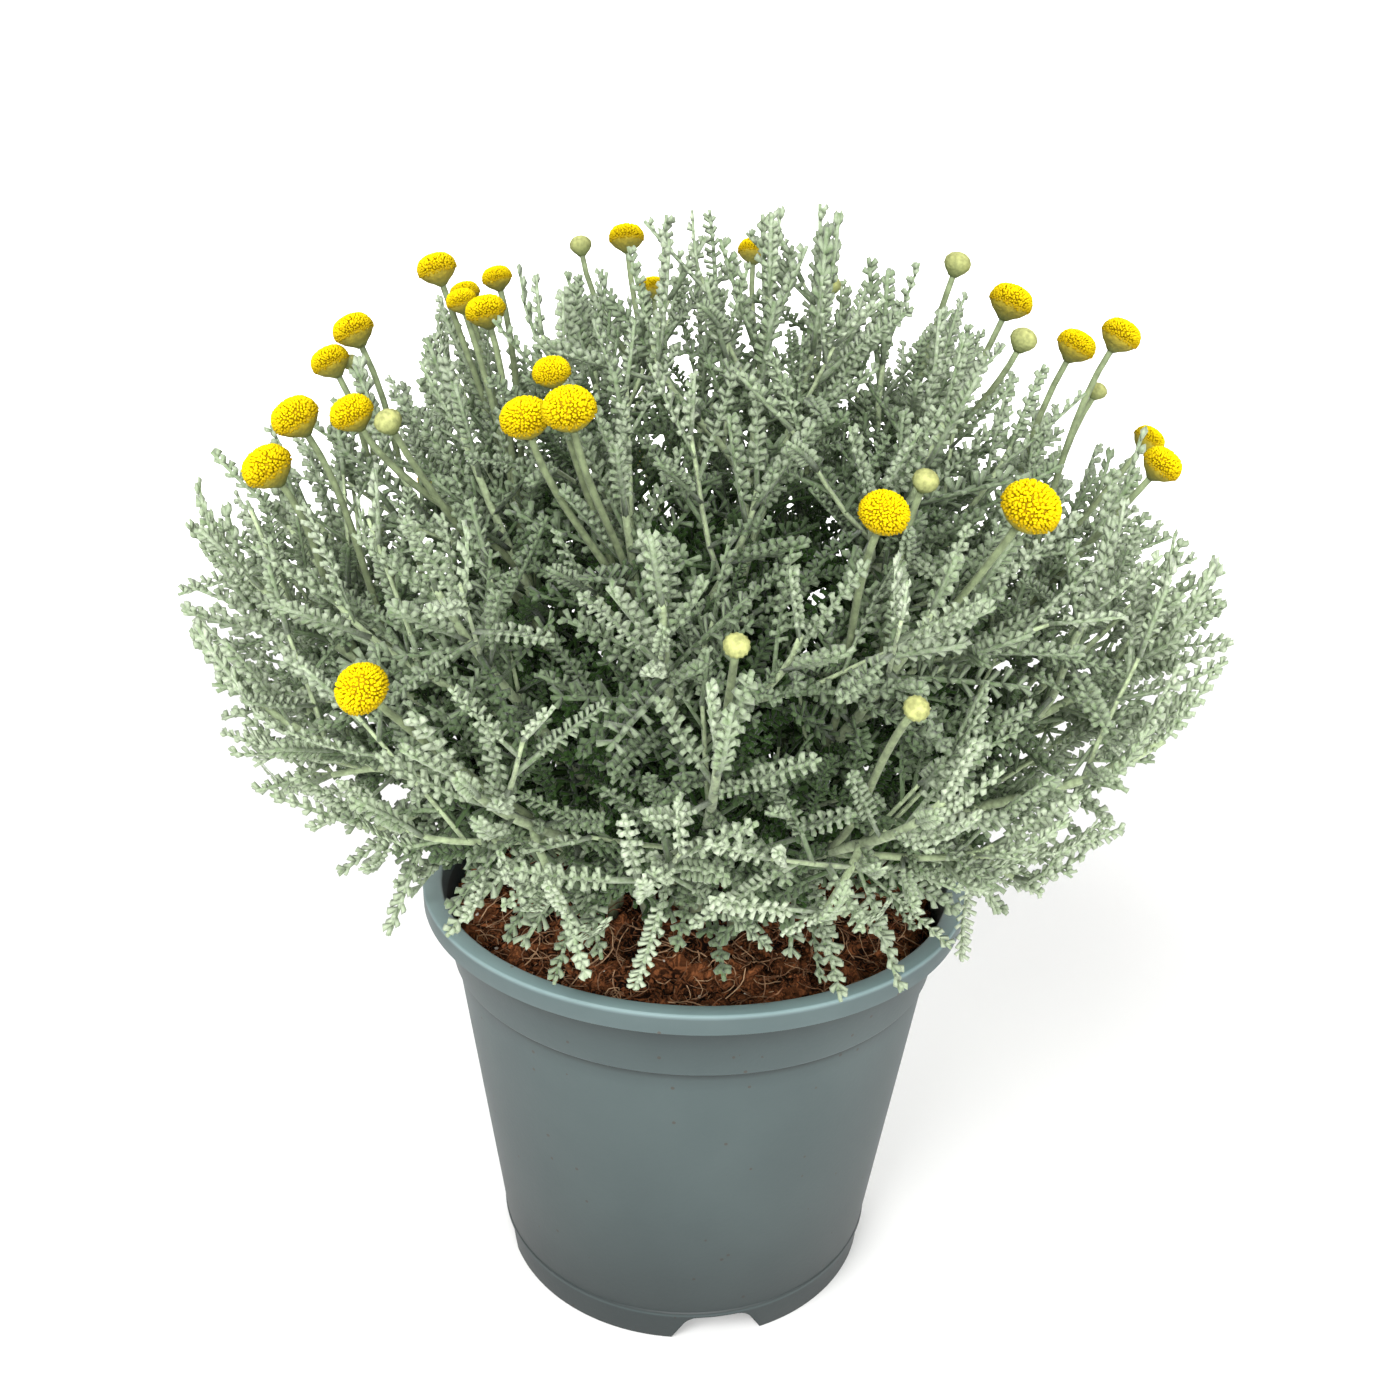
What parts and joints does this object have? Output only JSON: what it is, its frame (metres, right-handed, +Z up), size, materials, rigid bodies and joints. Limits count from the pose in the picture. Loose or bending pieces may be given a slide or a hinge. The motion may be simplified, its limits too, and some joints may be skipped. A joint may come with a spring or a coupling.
{
  "type": "potted cotton lavender",
  "caption": "Bushy silver-leaved plant with comb-cut leaves and yellow button flowers on slender stalks, growing in a round tapered nursery pot.",
  "frame": {"origin": "middle of the pot's foot, on the surface it stands on", "axes": "+Z up along the pot's axis, -Y towards the front of the plant, where the foot ring's marked notch is"},
  "size_m": [0.2419, 0.2329, 0.2774],
  "materials": {
    "pot_plastic": "matt moulded blue-green-grey plastic with a faint sheen",
    "coir_soil": "moist red-brown coir and peat, fibrous and lumpy",
    "silver_leaf": "felted silver grey-green, matt",
    "yellow_floret": "matt yellow florets"
  },
  "bodies": {
    "root": {"pot": "pot_plastic", "soil": "coir_soil", "leafy_stem_01": "silver_leaf", "leafy_stem_02": "silver_leaf", "leafy_stem_03": "silver_leaf", "leafy_stem_04": "silver_leaf", "leafy_stem_05": "silver_leaf", "leafy_stem_06": "silver_leaf", "leafy_stem_07": "silver_leaf", "leafy_stem_08": "silver_leaf", "leafy_stem_09": "silver_leaf", "leafy_stem_10": "silver_leaf", "leafy_stem_11": "silver_leaf", "leafy_stem_12": "silver_leaf", "leafy_stem_13": "silver_leaf", "leafy_stem_14": "silver_leaf", "leafy_stem_15": "silver_leaf", "leafy_stem_16": "silver_leaf", "leafy_stem_17": "silver_leaf", "leafy_stem_18": "silver_leaf", "leafy_stem_19": "silver_leaf", "leafy_stem_20": "silver_leaf", "leafy_stem_21": "silver_leaf", "leafy_stem_22": "silver_leaf", "leafy_stem_23": "silver_leaf", "leafy_stem_24": "silver_leaf", "leafy_stem_25": "silver_leaf", "leafy_stem_26": "silver_leaf", "leafy_stem_27": "silver_leaf", "leafy_stem_28": "silver_leaf", "leafy_stem_29": "silver_leaf", "flower_head_01": "yellow_floret", "flower_head_02": "yellow_floret", "flower_head_03": "yellow_floret", "flower_head_04": "yellow_floret", "flower_head_05": "yellow_floret", "flower_head_06": "yellow_floret", "flower_head_07": "yellow_floret", "flower_head_08": "yellow_floret", "flower_head_09": "yellow_floret", "flower_head_10": "yellow_floret", "flower_head_11": "yellow_floret", "flower_head_12": "yellow_floret", "flower_head_13": "yellow_floret", "flower_head_14": "yellow_floret", "flower_head_15": "yellow_floret", "flower_head_16": "yellow_floret", "flower_head_17": "yellow_floret", "flower_head_18": "yellow_floret", "flower_head_19": "yellow_floret", "flower_head_20": "yellow_floret", "flower_head_21": "yellow_floret", "flower_head_22": "yellow_floret", "flower_head_23": "yellow_floret", "flower_head_24": "yellow_floret", "flower_head_25": "yellow_floret", "flower_head_26": "yellow_floret", "flower_head_27": "yellow_floret", "flower_head_28": "yellow_floret"}
  },
  "joints": []
}
